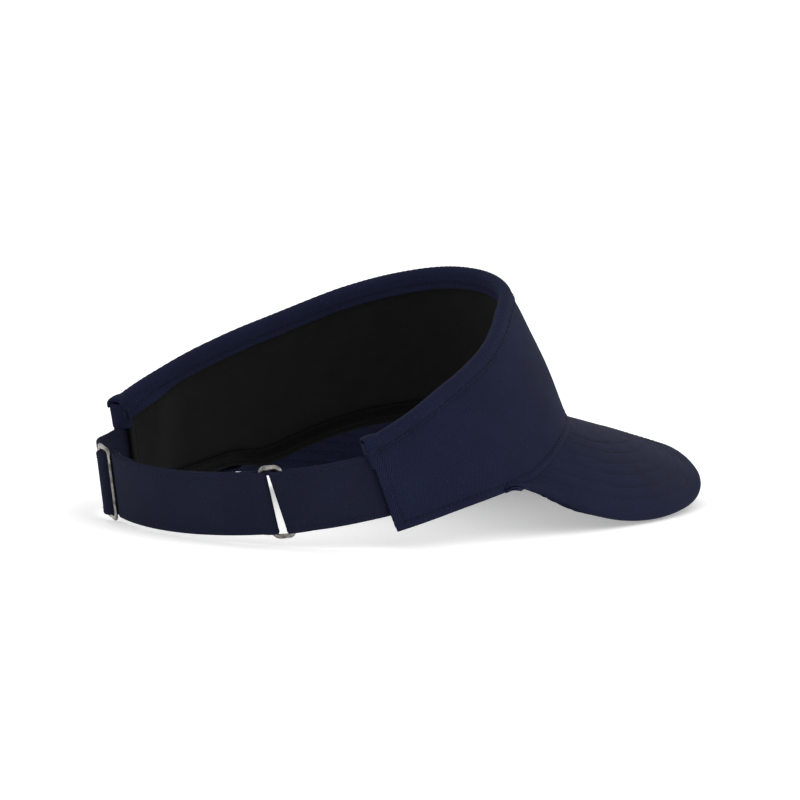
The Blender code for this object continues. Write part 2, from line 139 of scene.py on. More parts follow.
# Ring and tab sit askew: sideways shift for each mm of height, and how far along it fades
RING_LEAN = 0.10
TAB_LEAN = 0.20
TAB_SLACK = 1.5
LEAN_REACH = 14.0

# Stitching
STITCH_PITCH = 2.6
STITCH_LENGTH = 2.0
THREAD_RADIUS = 0.2

# Camera: where it stands and how the object sits in its view
VIEW_AZIMUTH = radians(45.43)
VIEW_ELEVATION = radians(10.0)
VIEW_TIP = radians(-3.90)
VIEW_ROLL = radians(-0.45)
VIEW_DISTANCE = 3122.6
VIEW_OFFSET = (23.3, 28.9)
VIEW_LENS = 352.5

NAVY_DARK = (0.0032, 0.0042, 0.0118)
NAVY_LIGHT = (0.0160, 0.0198, 0.0500)
# Strap colours: the navy twill made darker and less blue, painted shade for the strap facing away from the
# light
STRAP_SHADED_DARK = (0.0032, 0.0040, 0.0100)
STRAP_SHADED_LIGHT = (0.0156, 0.0184, 0.0400)

# Wave texture scale that repeats once in each unit of its place
WAVE_UNIT = 0.314

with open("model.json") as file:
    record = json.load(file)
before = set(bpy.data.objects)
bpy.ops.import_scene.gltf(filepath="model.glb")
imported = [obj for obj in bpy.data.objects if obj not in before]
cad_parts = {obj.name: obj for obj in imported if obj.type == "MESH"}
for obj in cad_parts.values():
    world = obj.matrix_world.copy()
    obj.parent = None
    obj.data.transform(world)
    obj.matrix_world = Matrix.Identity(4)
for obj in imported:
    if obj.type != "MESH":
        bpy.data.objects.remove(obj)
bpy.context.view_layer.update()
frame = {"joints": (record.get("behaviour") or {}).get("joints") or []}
joints = {joint["name"]: joint for joint in frame["joints"]}


# ---------------------------------------------------------------- curves and surfaces


def eased(x):
    x = np.clip(x, 0.0, 1.0)
    return x * x * (3 - 2 * x)


def unit(v):
    return v / np.maximum(np.linalg.norm(v, axis=-1, keepdims=True), 1e-12)


def stacked(x, y, z):
    return np.stack(np.broadcast_arrays(x, y, z), axis=-1).astype(float)


def profile(values, step, angle):
    """Value at an angle either side of the front, curving smoothly through the stations."""
    values = np.asarray(values, float)
    last = len(values) - 1
    place = np.minimum(np.abs(np.degrees(angle)) / step, float(last))
    i = np.minimum(place.astype(int), last - 1)
    f = place - i
    here, following = values[i], values[i + 1]
    before = np.where(i > 0, values[np.maximum(i - 1, 0)], values[1])
    after = np.where(i + 2 <= last, values[np.minimum(i + 2, last)], 2 * following - here)
    straight = here + (following - here) * f * f * (3 - 2 * f)
    return straight + f * (1 - f) * ((1 - f) * (following - before) / 2 - f * (after - here) / 2)


def oval(angle):
    """Point on the head oval; angle 0 is the front, positive towards the wearer's left."""
    power = 2 / OVAL_POWER
    side, front = np.sin(angle), np.cos(angle)
    half = HALF_WIDTH * (1 + EGG * front)
    x = half * np.abs(side) ** power * np.sign(side)
    y = -HALF_LENGTH * np.abs(front) ** power * np.sign(front)
    return stacked(x, y, 0.0)


def oval_normal(angle):
    along = oval(angle + 0.01) - oval(angle - 0.01)
    return unit(stacked(along[..., 1], -along[..., 0], 0.0))


def wall_height(angle):
    return profile(WALL_HEIGHT, STATION_STEP, angle)


def lower_edge(angle):
    """Lift of the crown's lower edge, below zero where the cloth hangs lower on the left."""
    return np.where(np.asarray(angle) > 0, -profile(LEFT_DROOP, STATION_STEP, angle), 0.0)


def crown_low(a):
    return lower_edge(np.asarray(a, float) / HALF_GIRTH * END_AT_EDGE)


def wall_point(angle, lift, depth):
    """Point in the crown wall: lift up its slope, depth in from its outer face."""
    lean = np.radians(profile(WALL_LEAN, STATION_STEP, angle))
    out = oval_normal(angle)
    rise = stacked(0.0, 0.0, np.cos(lean))
    up = rise - out * np.sin(lean)[..., None]
    face = out * np.cos(lean)[..., None] + stacked(0.0, 0.0, np.sin(lean))
    edge = oval(angle) + stacked(0.0, 0.0, profile(EDGE_HEIGHT, STATION_STEP, angle))
    lift, depth = np.asarray(lift, float), np.asarray(depth, float)
    return edge + up * lift[..., None] - face * depth[..., None]


def crown_angle(a, lift):
    """Angle round the oval at a mm round the band; mm count from the crown's slanting ends."""
    share = lift / wall_height(a / HALF_GIRTH * END_AT_EDGE)
    end = (END_AT_EDGE + (END_AT_TOP - END_AT_EDGE) * share) * END_CURVE_RADIUS
    inset = HALF_GIRTH - np.abs(a)
    kept = 20.0
    beyond = kept + (inset - kept) * (end - kept) / (HALF_GIRTH - kept)
    return np.sign(a) * (end - np.where(inset < kept, inset, beyond)) / END_CURVE_RADIUS


def strap_room(distance, lift):
    """How far the inner layers stand off within a distance of a crown end, over the strap."""
    near_end = 1 - eased((distance - STRAP_TUCK - 3.0) / 20)
    below_top = 1 - eased((lift - 33.0) / 5.0)
    return (2 * 0.9 + 2 * GAP + 0.2) * near_end * below_top


def crown_surface(a, lift, depth, over_strap=False):
    """Crown wall point, a mm round from the front and lift mm up, depth below the outer face."""
    a, lift, depth = np.broadcast_arrays(*(np.asarray(v, float) for v in (a, lift, depth)))
    angle = crown_angle(a, lift)
    if over_strap:
        depth = depth + strap_room((END_AT_EDGE - np.abs(angle)) * END_CURVE_RADIUS, lift)
    return wall_point(angle, lift, depth)


def crown_top(a):
    """Lift of the crown's top edge, under the binding."""
    return wall_height(np.asarray(a, float) / HALF_GIRTH * END_AT_EDGE) - CROWN_TOP_CLEARANCE


def strap_point(x, y, z):
    """Point of the strap: x along it from the rear centre, y out from its middle, z up the band."""
    x, y, z = np.broadcast_arrays(*(np.asarray(v, float) for v in (x, y, z)))
    arc = x / STRAP_RADIUS
    radius = STRAP_RADIUS + y
    free = stacked(radius * np.sin(arc), STRAP_CENTRE_Y + radius * np.cos(arc), z)
    start = np.where(arc > 0, SLIDER_ARC + 0.12, -RING_ARC + 0.12)
    share = eased((np.abs(arc) - start) / (STRAP_MEETS_CROWN - start))
    angle = (END_AT_EDGE - (np.abs(arc) - CROWN_END_ARC) * 0.865) * np.sign(arc)
    lean = np.radians(profile(WALL_LEAN, STATION_STEP, angle))
    height = z - np.where(arc > 0, FAR_DROP, 0.0)
    lift = (height - profile(EDGE_HEIGHT, STATION_STEP, angle)) / np.cos(lean)
    wall = wall_point(angle, lift, 2.0 + PLY_OFFSET + 0.45 - y)
    return free + (wall - free) * share[..., None]


def brim_surface(turn, share):
    """Top of the brim: turn from -90 to 90 degrees round it, share from the crown to its edge."""
    turn, share = np.broadcast_arrays(np.asarray(turn, float), np.asarray(share, float))
    joint = oval(BRIM_JOINT)
    power = 2 / BRIM_POWER
    side, front = np.sin(turn), np.maximum(np.cos(turn), 0.0)
    reach = HALF_LENGTH + BRIM_REACH + joint[1]
    seam_angle = turn / (np.pi / 2) * BRIM_JOINT
    sag = lower_edge(seam_angle) * side**BRIM_SAG_POWER
    edge = stacked(
        BRIM_HALF_WIDTH * np.abs(side) ** power * np.sign(side),
        joint[1] - reach * front**power,
        profile(BRIM_EDGE_HEIGHT, BRIM_STATION_STEP, turn) + sag,
    )
    seam = wall_point(seam_angle, lower_edge(seam_angle) - 0.45, np.full(turn.shape, 0.35))
    tip = eased((np.abs(turn) - BOARD_END) / TIP_TURN)[..., None]
    edge = edge + (seam + oval_normal(seam_angle) * BRIM_TIP - edge) * tip
    crowning = BRIM_CROWNING_FRONT * front**2 + BRIM_CROWNING_SIDE * side**2 * front**0.5
    point = seam + (edge - seam) * share[..., None]
    point[..., 2] += 4 * crowning * share * (1 - share)
    return point


def drift(a, b, seed, size):
    """Slow, smooth unevenness over a cloth, the same each run."""
    waves = np.random.default_rng(seed)
    total = 0.0
    for reach in (90.0, 55.0, 34.0, 21.0):
        heading, phase = waves.uniform(0, 2 * np.pi, 2)
        total = total + reach / 90 * np.sin(2 * np.pi * (a * cos(heading) + b * sin(heading)) / reach + phase)
    return size * total / 2


def dip(distance, along, depth, width=0.55):
    """Groove that a row of stitches pulls in, with the cloth swelling a little beside it."""
    pulled = np.exp(-((distance / width) ** 2)) * (0.72 + 0.28 * np.cos(2 * np.pi * along / STITCH_PITCH))
    swell = np.exp(-(((np.abs(distance) - 2.4 * width) / (1.2 * width)) ** 2))
    return depth * (0.35 * swell - pulled)


def places(low, high, step, marks=(), rims=()):
    """Positions from low to high, closer together at marks (seams) and at rims (rolled edges)."""
    found = list(np.linspace(low, high, max(2, int(np.ceil((high - low) / step)) + 1)))
    for mark in marks:
        found += [mark + d for d in (-1.9, -1.35, -0.9, -0.55, -0.28, 0.0, 0.28, 0.55, 0.9, 1.35, 1.9)]
    for rim in rims:
        inward = 1 if rim < (low + high) / 2 else -1
        found += [rim + inward * d for d in (0.02, 0.08, 0.18, 0.33, 0.55, 0.85, 1.3)]
    found = sorted(p for p in found if low <= p <= high)
    kept = [low]
    for p in found:
        if p - kept[-1] > 0.018 and high - p > 0.018:
            kept.append(p)
    return np.array(kept + [high])


def lengths(points, axis):
    """Distance along a grid of points in one direction, from its first row."""
    steps = np.linalg.norm(np.diff(points, axis=axis), axis=-1)
    zero = np.zeros_like(np.take(steps, [0], axis=axis))
    return np.concatenate([zero, np.cumsum(steps, axis=axis)], axis=axis)


def travelled(points):
    """Distance along a line of points, from its first."""
    steps = np.linalg.norm(np.diff(points, axis=0), axis=-1)
    return np.concatenate([[0.0], np.cumsum(steps)])


def rounded_route(corners, step, passes, marks=()):
    """Places along a route of pairs of values, and the two values there, with its corners rounded.

    A mark below zero counts back from the route's end.
    """
    corners = np.array(corners, float)
    run = travelled(corners)
    marks = [mark if mark >= 0 else run[-1] + mark for mark in marks]
    at = places(0.0, run[-1], step, marks, (0.0, run[-1]))
    values = np.stack([np.interp(at, run, corners[:, k]) for k in range(2)])
    for _ in range(passes):
        values[:, 1:-1] = (values[:, :-2] + 2 * values[:, 1:-1] + values[:, 2:]) / 4
    return at, values[0], values[1]


def grid_normals(points):
    return unit(np.cross(np.gradient(points, axis=0), np.gradient(points, axis=1)))


slider_travel = joints["slider_travel"]
band_up = np.array(slider_travel["axis"], float)
band_right = np.array((1.0, 0.0, 0.0))
band_back = np.cross(band_up, band_right)
band_turn = np.stack([band_right, band_back, band_up], axis=1)
band_place = np.array(slider_travel["pos_m"]) - band_turn @ np.array((0, STRAP_CENTRE_Y, 0)) * MM


def to_row(points):
    return np.asarray(points, float) * MM @ band_turn.T + band_place


# ---------------------------------------------------------------- meshes


def finish_mesh(name, points, faces, look, crease=55):
    """Object from points in the band frame, its faces turned outwards and shaded smooth."""
    mesh = bpy.data.meshes.new(name)
    mesh.from_pydata(to_row(points).tolist(), [], faces)
    shape = bmesh.new()
    shape.from_mesh(mesh)
    bmesh.ops.recalc_face_normals(shape, faces=shape.faces)
    shape.to_mesh(mesh)
    shape.free()
    mesh.polygons.foreach_set("use_smooth", [True] * len(mesh.polygons))
    mesh.set_sharp_from_angle(angle=radians(crease))
    mesh.materials.append(look)
    made = bpy.data.objects.new(name, mesh)
    bpy.context.scene.collection.objects.link(made)
    return made


def closed_grid(name, face, back, uv, look):
    """Closed sheet between a face and a back grid; where the two meet they share their points."""
    rows, columns = face.shape[:2]
    count = rows * columns
    front_ids = np.arange(count).reshape(rows, columns)
    joined = np.linalg.norm(face - back, axis=-1) < 1e-6
    back_ids = np.where(joined, front_ids, front_ids + count)

    def quads(ids):
        return np.stack([ids[:-1, :-1], ids[1:, :-1], ids[1:, 1:], ids[:-1, 1:]], axis=-1).reshape(-1, 4)

    faces = quads(front_ids).tolist() + quads(back_ids)[:, ::-1].tolist()
    rims = ((front_ids[0], back_ids[0]), (front_ids[-1], back_ids[-1]),
            (front_ids[:, 0], back_ids[:, 0]), (front_ids[:, -1], back_ids[:, -1]))
    for fronts, backs in rims:
        for i in range(len(fronts) - 1):
            loop = (fronts[i], fronts[i + 1], backs[i + 1], backs[i])
            corners = list(dict.fromkeys(int(v) for v in loop))
            if len(corners) > 2:
                faces.append(corners)
    points = np.concatenate([face.reshape(-1, 3), back.reshape(-1, 3)])
    flat = np.concatenate([uv.reshape(-1, 2), uv.reshape(-1, 2)])
    used = np.zeros(2 * count, bool)
    used[front_ids] = True
    used[back_ids] = True
    number = np.cumsum(used) - 1
    made = finish_mesh(name, points[used], [[int(number[v]) for v in f] for f in faces], look)
    loops = np.empty(len(made.data.loops), int)
    made.data.loops.foreach_get("vertex_index", loops)
    made.data.uv_layers.new(name="cloth").data.foreach_set("uv", flat[used][loops].ravel())
    return made


def thick_sheet(name, middle, thick, look, rolled="abcd", offset=0.0):
    """Cloth of a thickness about a middle surface, with rounded edges.

    rolled names the edges that are rounded: a and b across the grid's rows, c and d across its
    columns. offset moves the cloth along its normals before it is given its thickness. Gives the
    object, and the middle surface and its normals as they were used.
    """
    middle = middle + grid_normals(middle) * np.broadcast_to(offset, middle.shape[:2])[..., None]
    normals = grid_normals(middle)
    over_rows, over_columns = lengths(middle, 0), lengths(middle, 1)
    half = np.broadcast_to(np.asarray(thick, float) / 2, middle.shape[:2]).copy()
    edge = {
        "a": over_rows, "b": over_rows[-1:] - over_rows,
        "c": over_columns, "d": over_columns[:, -1:] - over_columns,
    }
    radius = half.copy()
    for side in rolled:
        inside = np.clip(edge[side] / radius, 0, 1)
        half *= np.sqrt(1 - (1 - inside) ** 2)
    start = over_rows[:, :1] * 0 + over_rows[over_rows.shape[0] // 2]
    flat = np.stack([over_rows - start, over_columns], axis=-1)
    rise = normals * half[..., None]
    return closed_grid(name, middle + rise, middle - rise, flat, look), middle, normals


def settle(pieces, body="band"):
    """Let pieces ride on a body."""
    for piece in pieces:
        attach(piece, body)


def stitch_row(name, line, outward, look, pitch=STITCH_PITCH, length=STITCH_LENGTH, radius=THREAD_RADIUS):
    """Row of separate stitches lying in a seam, sunk at their ends where they enter the cloth."""
    run = travelled(line)
    count = max(1, int(run[-1] // pitch))
    middles = (np.arange(count) + 0.5) * run[-1] / count
    shares = np.array((-0.5, -0.36, 0.0, 0.36, 0.5))
    swell = np.array((0.5, 0.9, 1.0, 0.9, 0.5)) * radius
    rise = np.array((-0.9, 0.1, 0.45, 0.1, -0.9)) * radius
    at = middles[:, None] + shares[None] * length
    centres = np.stack([np.interp(at, run, line[:, k]) for k in range(3)], axis=-1)
    out = unit(np.stack([np.interp(at, run, outward[:, k]) for k in range(3)], axis=-1))
    tangent = unit(np.gradient(centres, axis=1))
    side = unit(np.cross(out, tangent))
    centres = centres + out * rise[None, :, None]
    sides = 6
    turns = np.arange(sides) * 2 * np.pi / sides
    ring = np.cos(turns)[:, None] * side[..., None, :] + np.sin(turns)[:, None] * out[..., None, :]
    points = centres[..., None, :] + ring * swell[None, :, None, None]
    stations = len(shares)
    faces = []
    for k in range(count):
        base = k * stations * sides
        for i in range(stations - 1):
            for j in range(sides):
                a, b = base + i * sides + j, base + i * sides + (j + 1) % sides
                faces.append((a, b, b + sides, a + sides))
        faces.append(tuple(base + j for j in reversed(range(sides))))
        faces.append(tuple(base + (stations - 1) * sides + j for j in range(sides)))
    return finish_mesh(name, points.reshape(-1, 3), faces, look)


def surface_line(surface, a, b, flip=False):
    """Points along a line on a surface, and the directions out of it."""
    step = 0.4
    a, b = np.broadcast_arrays(np.asarray(a, float), np.asarray(b, float))
    along = surface(a + step, b) - surface(a - step, b)
    across = np.cross(along, surface(a, b + step) - surface(a, b - step))
    return surface(a, b), unit(across) * (-1 if flip else 1)


# ---------------------------------------------------------------- materials


def add(tree, kind, inputs=(), **settings):
    made = tree.nodes.new(kind)
    for name, value in settings.items():
        setattr(made, name, value)
    for name, value in dict(inputs).items():
        if isinstance(value, bpy.types.NodeSocket):
            tree.links.new(value, made.inputs[name])
        else:
            made.inputs[name].default_value = value
    return made


def started(name):
    made = bpy.data.materials.new(name)
    made.use_nodes = True
    return made, made.node_tree, made.node_tree.nodes["Principled BSDF"]


def connect(tree, shader, colour, rough, height=None, strength=0.0, distance=0.0, plain=()):
    """Feed a shader its colour, roughness and bump, and set its plain values."""
    tree.links.new(colour, shader.inputs["Base Color"])
    tree.links.new(rough, shader.inputs["Roughness"])
    if height is not None:
        bump = add(tree, "ShaderNodeBump", {"Height": height, "Strength": strength, "Distance": distance})
        tree.links.new(bump.outputs["Normal"], shader.inputs["Normal"])
    for name, value in dict(plain).items():
        shader.inputs[name].default_value = value


def noise(tree, place, scale, detail=2.0, rough=0.5):
    return add(tree, "ShaderNodeTexNoise",
               {"Vector": place, "Scale": scale, "Detail": detail, "Roughness": rough}).outputs["Fac"]


def maths(tree, kind, a, b=0.0):
    return add(tree, "ShaderNodeMath", {0: a, 1: b}, operation=kind).outputs[0]


def spread(tree, value, low, high, to_low, to_high):
    """Value from between low and high to between to_low and to_high, held at the ends."""
    return add(tree, "ShaderNodeMapRange",
               {"Value": value, "From Min": low, "From Max": high, "To Min": to_low, "To Max": to_high}
               ).outputs["Result"]


def mixed(tree, share, a, b, blend="MIX"):
    made = add(tree, "ShaderNodeMix", data_type="RGBA", blend_type=blend)
    for name, value in (("Factor", share), ("A", a), ("B", b)):
        kind = "VALUE" if name == "Factor" else "RGBA"
        sockets = [s for s in made.inputs if s.name == name and s.type == kind]
        if isinstance(value, bpy.types.NodeSocket):
            tree.links.new(value, sockets[0])
        else:
            sockets[0].default_value = value if name == "Factor" else (*value, 1.0)
    return [s for s in made.outputs if s.type == "RGBA"][0]


def twill(name, dark, light, rib, heading, sheen=0.02, shine=0.06):
    """Fine diagonal weave, with uneven yarns, slow shade changes and specks of lint."""
    made, tree, shader = started(name)
    place = add(tree, "ShaderNodeUVMap", uv_map="cloth").outputs["UV"]
    turn = {"Vector": place, "Rotation": (0, 0, radians(heading))}
    turned = add(tree, "ShaderNodeMapping", turn).outputs[0]
    wave = {"Vector": turned, "Scale": WAVE_UNIT / rib, "Distortion": 2.2, "Detail": 2.0, "Detail Scale": 0.9}
    ribs = add(tree, "ShaderNodeTexWave", wave, bands_direction="X").outputs["Fac"]
    yarn = {"Vector": turned, "Scale": WAVE_UNIT / (rib * 0.8), "Distortion": 2.0, "Detail": 1.0,
            "Detail Scale": 1.0}
    yarns = add(tree, "ShaderNodeTexWave", yarn, bands_direction="Y").outputs["Fac"]
    grain = noise(tree, place, 1.7, 3.0, 0.65)
    slow = noise(tree, place, 0.035, 3.0)
    weave = maths(tree, "ADD", maths(tree, "MULTIPLY", ribs, 0.34), maths(tree, "MULTIPLY", yarns, 0.15))
    height = maths(tree, "ADD", weave, maths(tree, "MULTIPLY", grain, 0.5))
    colour = mixed(tree, spread(tree, height, 0.25, 0.8, 0.0, 1.0), dark, light)
    shade = spread(tree, slow, 0.3, 0.7, 0.88, 1.12)
    grey = add(tree, "ShaderNodeCombineColor", {"Red": shade, "Green": shade, "Blue": shade}).outputs[0]
    colour = mixed(tree, 1.0, colour, grey, "MULTIPLY")
    lint = spread(tree, noise(tree, place, 2.3, 0.0), 0.80, 0.86, 0.0, 0.5)
    colour = mixed(tree, lint, colour, tuple(5 * c for c in light))
    plain = {"Specular IOR Level": shine, "Sheen Weight": sheen, "Sheen Roughness": 0.45,
             "Sheen Tint": (0.30, 0.36, 0.62, 1.0)}
    connect(tree, shader, colour, spread(tree, grain, 0.2, 0.8, 0.80, 0.97), height, 0.45, 0.00012, plain)
    return made


def felt(name, dark, light):
    """Brushed black lining: short fibres lying in soft patches."""
    made, tree, shader = started(name)
    place = add(tree, "ShaderNodeUVMap", uv_map="cloth").outputs["UV"]
    fibres = noise(tree, place, 2.6, 4.0, 0.75)
    patches = noise(tree, place, 0.11, 3.0, 0.6)
    height = maths(tree, "ADD", fibres, maths(tree, "MULTIPLY", patches, 0.5))
    colour = mixed(tree, spread(tree, height, 0.45, 1.05, 0.0, 1.0), dark, light)
    plain = {"Specular IOR Level": 0.06, "Sheen Weight": 0.03, "Sheen Roughness": 0.6}
    connect(tree, shader, colour, spread(tree, patches, 0.3, 0.7, 0.9, 1.0), height, 0.6, 0.0003, plain)
    return made


def row_place(tree, scale):
    """Place on the object itself, for pieces with no cloth layout; scale is per metre."""
    place = add(tree, "ShaderNodeTexCoord").outputs["Object"]
    return add(tree, "ShaderNodeMapping", {"Vector": place, "Scale": (scale,) * 3}).outputs[0]


def thread(name, dark, light):
    made, tree, shader = started(name)
    place = row_place(tree, 1000.0)
    strands = add(tree, "ShaderNodeTexWave", {"Vector": place, "Scale": 0.9, "Distortion": 1.5},
                  bands_direction="DIAGONAL").outputs["Fac"]
    colour = mixed(tree, maths(tree, "MULTIPLY", strands, noise(tree, place, 0.6)), dark, light)
    rough = spread(tree, strands, 0.0, 1.0, 0.55, 0.75)
    connect(tree, shader, colour, rough, strands, 0.4, 0.00005, {"Specular IOR Level": 0.1})
    return made


def antique_metal(name):
    """Nickel plate, darkened in patches and rubbed brighter elsewhere."""
    made, tree, shader = started(name)
    place = row_place(tree, 1000.0)
    patina = noise(tree, place, 0.35, 4.0, 0.6)
    scratches = noise(tree, place, 3.0, 2.0, 0.7)
    colour = mixed(tree, spread(tree, patina, 0.38, 0.62, 0.0, 1.0), (0.13, 0.12, 0.11), (0.38, 0.365, 0.345))
    worn = spread(tree, patina, 0.35, 0.65, 0.34, 0.16)
    rough = maths(tree, "ADD", worn, maths(tree, "MULTIPLY", scratches, 0.12))
    connect(tree, shader, colour, rough, scratches, 0.12, 0.00005, {"Metallic": 1.0})
    return made


def hidden_weave(name, dark, light, pitch):
    """Open plain weave of stiff interlining."""
    made, tree, shader = started(name)
    place = row_place(tree, 1000.0)
    wave = {"Vector": place, "Scale": WAVE_UNIT / pitch}
    across = add(tree, "ShaderNodeTexWave", wave, bands_direction="X")
    upward = add(tree, "ShaderNodeTexWave", wave, bands_direction="Z")
    height = maths(tree, "MULTIPLY", across.outputs["Fac"], upward.outputs["Fac"])
    tree.links.new(mixed(tree, height, dark, light), shader.inputs["Base Color"])
    bump = add(tree, "ShaderNodeBump", {"Height": height, "Strength": 0.5, "Distance": 0.0002})
    tree.links.new(bump.outputs["Normal"], shader.inputs["Normal"])
    shader.inputs["Roughness"].default_value = 0.85
    return made


def board(name):
    """Matt polyethylene sheet with a faint pebbled skin."""
    made, tree, shader = started(name)
    place = row_place(tree, 1000.0)
    pebbles = noise(tree, place, 1.1, 2.0)
    colour = mixed(tree, pebbles, (0.56, 0.56, 0.54), (0.68, 0.68, 0.66))
    connect(tree, shader, colour, spread(tree, pebbles, 0.3, 0.7, 0.42, 0.58))
    return made


looks = {
    "shell": twill("navy_twill_shell", NAVY_DARK, NAVY_LIGHT, 0.62, 38),
    "binding": twill("navy_twill_binding", NAVY_DARK, NAVY_LIGHT, 0.62, 83),
    "brim": twill("navy_twill_brim", NAVY_DARK, NAVY_LIGHT, 0.62, 33),
    # The strap's darker tint is painted shade, for its side facing away from the light
    "strap": twill("navy_twill_strap_painted_shade", STRAP_SHADED_DARK, STRAP_SHADED_LIGHT, 0.55, 50),
    "felt": felt("black_brushed_lining", (0.0016, 0.0016, 0.0016), (0.0082, 0.0081, 0.0079)),
    "tape": felt("black_tape", (0.0012, 0.0012, 0.0013), (0.0044, 0.0044, 0.0045)),
    "thread": thread("navy_thread", (0.0050, 0.0062, 0.0150), (0.0150, 0.0182, 0.0390)),
    "black_thread": thread("black_thread", (0.0014, 0.0014, 0.0015), (0.0062, 0.0062, 0.0062)),
    "metal": antique_metal("antique_nickel"),
    "buckram": hidden_weave("stiff_interlining", (0.22, 0.22, 0.21), (0.42, 0.42, 0.40), 1.3),
    "board": board("brim_board_plastic"),
}


# ---------------------------------------------------------------- crown


def crown_grid(depth, ends=(), lifts=(), low=0.0, top_gap=0.0, step=1.5, over_strap=False, inset=0.0):
    """Grid over the crown wall, whose rows run round the band and whose columns run up it.

    Gives the place round the band, the height over the lower edge and the points. ends and lifts
    are where seams run, in from the ends and up from the lower edge.
    """
    edge = HALF_GIRTH - inset
    a = places(-edge, edge, 0.65, marks=[m for e in ends for m in (-edge + e, edge - e)],
               rims=(-edge, edge))
    nominal, kept = 60.0, 12.0
    base = places(low, nominal, step, marks=lifts, rims=(low, nominal))[None]
    start, top = crown_low(a)[:, None], crown_top(a)[:, None] - top_gap
    lower, upper = start + base, top - (nominal - base)
    share = eased((base - low - kept) / (nominal - low - 2 * kept))
    lift = lower + (upper - lower) * share
    grid_a = np.broadcast_to(a[:, None], lift.shape)
    return grid_a, lift - start, crown_surface(grid_a, lift, depth, over_strap)


def folded_edge(distance, single, folded, width):
    """Thickness near a turned-in edge: double under the fold, single past its stitching."""
    return folded + (single - folded) * eased((distance - width + 0.7) / 1.4)


def make_shell():
    a, lift, points = crown_grid(SHELL_MIDDLE, ends=(END_SEAM,), lifts=(HEM_SEAM,))
    inset = HALF_GIRTH - np.abs(a)
    over = crown_top(a) - crown_low(a) - lift
    at_hem = folded_edge(lift, SHELL_SINGLE, SHELL_FOLDED, HEM_SEAM)
    at_end = folded_edge(inset, SHELL_SINGLE, SHELL_FOLDED, END_SEAM)
    thick = np.maximum(at_hem, at_end)
    puckers = dip(lift - HEM_SEAM, a, 0.28) * eased(inset / END_SEAM)
    puckers = puckers + dip(inset - END_SEAM, lift, 0.25) * eased((lift - 1) / 3)
    quiet = eased((lift - 5) / 12) * eased(over / 14)
    waves = drift(a, lift, 4, 0.45) * quiet + 0.25 * quiet
    front = eased((105 - np.abs(a)) / 60)
    bulge = FRONT_BULGE * front * np.sin(np.pi * np.clip(over / (over + lift), 0, 1))
    shell, middle, _ = thick_sheet(
        "crown_shell_twill", points, thick, looks["shell"], "abcd", puckers + waves + bulge)
    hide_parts("crown_shell", "crown_hem_left", "crown_hem_right")

    def face(u, v):
        return crown_surface(u, v + crown_low(u), -0.12)

    rows = []
    hem = np.linspace(-HALF_GIRTH + END_SEAM, HALF_GIRTH - END_SEAM, 900)
    rows.append(stitch_row("crown_hem_stitches", *surface_line(face, hem, HEM_SEAM), looks["thread"]))
    for side, name in ((-1, "right"), (1, "left")):
        where = side * (HALF_GIRTH - END_SEAM)
        high = float(crown_top(where) - crown_low(where)) - BINDING_SEAM
        line = surface_line(face, where, np.linspace(1.5, high, 120))
        rows.append(stitch_row(f"crown_end_stitches_{name}", *line, looks["thread"]))
    settle([shell] + rows)


def make_lining():
    a, lift, points = crown_grid(LINING_MIDDLE, ends=(3.0,), low=0.3, top_gap=1.2, step=1.8,
                                 over_strap=True, inset=LINING_INSET)
    inset = HALF_GIRTH - LINING_INSET - np.abs(a)
    thick = folded_edge(inset, 0.75, 1.15, 3.0)
    puckers = dip(inset - 3.0, lift, 0.22)
    lining, middle, _ = thick_sheet("crown_lining_felt", points, thick, looks["felt"], "abcd", -puckers)
    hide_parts("crown_lining")

    def inner(u, v):
        return crown_surface(u, v, LINING_MIDDLE + 0.42, True)

    rows = []
    for side, name in ((-1, "right"), (1, "left")):
        where = side * (HALF_GIRTH - 3.6)
        climb = np.linspace(float(crown_low(where)) + 8, float(crown_top(where)) - BINDING_INSIDE, 60)
        rows.append(stitch_row(f"lining_end_stitches_{name}", *surface_line(inner, where, climb, True),
                               looks["black_thread"]))
    settle([lining] + rows)
    rows + make_edge_tape()


def tape_point(a, climb, out=0.0):
    """Point of the edge tape, climb up from its lower edge, and out of its middle inwards."""
    angle = a / HALF_GIRTH * END_AT_EDGE
    hang = 1 - eased((np.abs(angle) - TAPE_HANG_END + 0.2) / 0.2)
    bottom = lower_edge(angle) + 0.6 - (TAPE_HANG + 0.6) * hang
    deep = TAPE_MIDDLE + out + TAPE_STAND_OFF * hang * eased((TAPE_WIDTH - 0.8 - climb) / 3.0)
    return crown_surface(a, bottom + climb, deep, True)


def make_edge_tape():
    edge = HALF_GIRTH - LINING_INSET
    a = places(-edge, edge, 0.65, rims=(-edge, edge))
    seams = (2.4, TAPE_WIDTH - 1.0)
    climb = places(0.0, TAPE_WIDTH, 0.4, marks=seams, rims=(0.0, TAPE_WIDTH))
    grid_a, grid_climb = np.broadcast_arrays(a[:, None], climb[None])
    puckers = sum(dip(grid_climb - seam, grid_a, 0.16, 0.4) for seam in seams)
    tape, _, _ = thick_sheet(
        "edge_tape_felt", tape_point(grid_a, grid_climb), 0.8, looks["tape"], "abcd", -puckers)
    rows = []
    span = np.linspace(-HALF_GIRTH + 2, HALF_GIRTH - 2, 900)
    for seam, name in zip(seams, ("lower", "upper")):
        line = tape_point(span, np.full(span.shape, seam), 0.38)
        out = tape_point(span, np.full(span.shape, seam), 1.38) - line
        rows.append(stitch_row(f"tape_stitches_{name}", line, unit(out), looks["black_thread"]))
    settle([tape] + rows)
    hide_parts("edge_tape")
    return [tape] + rows


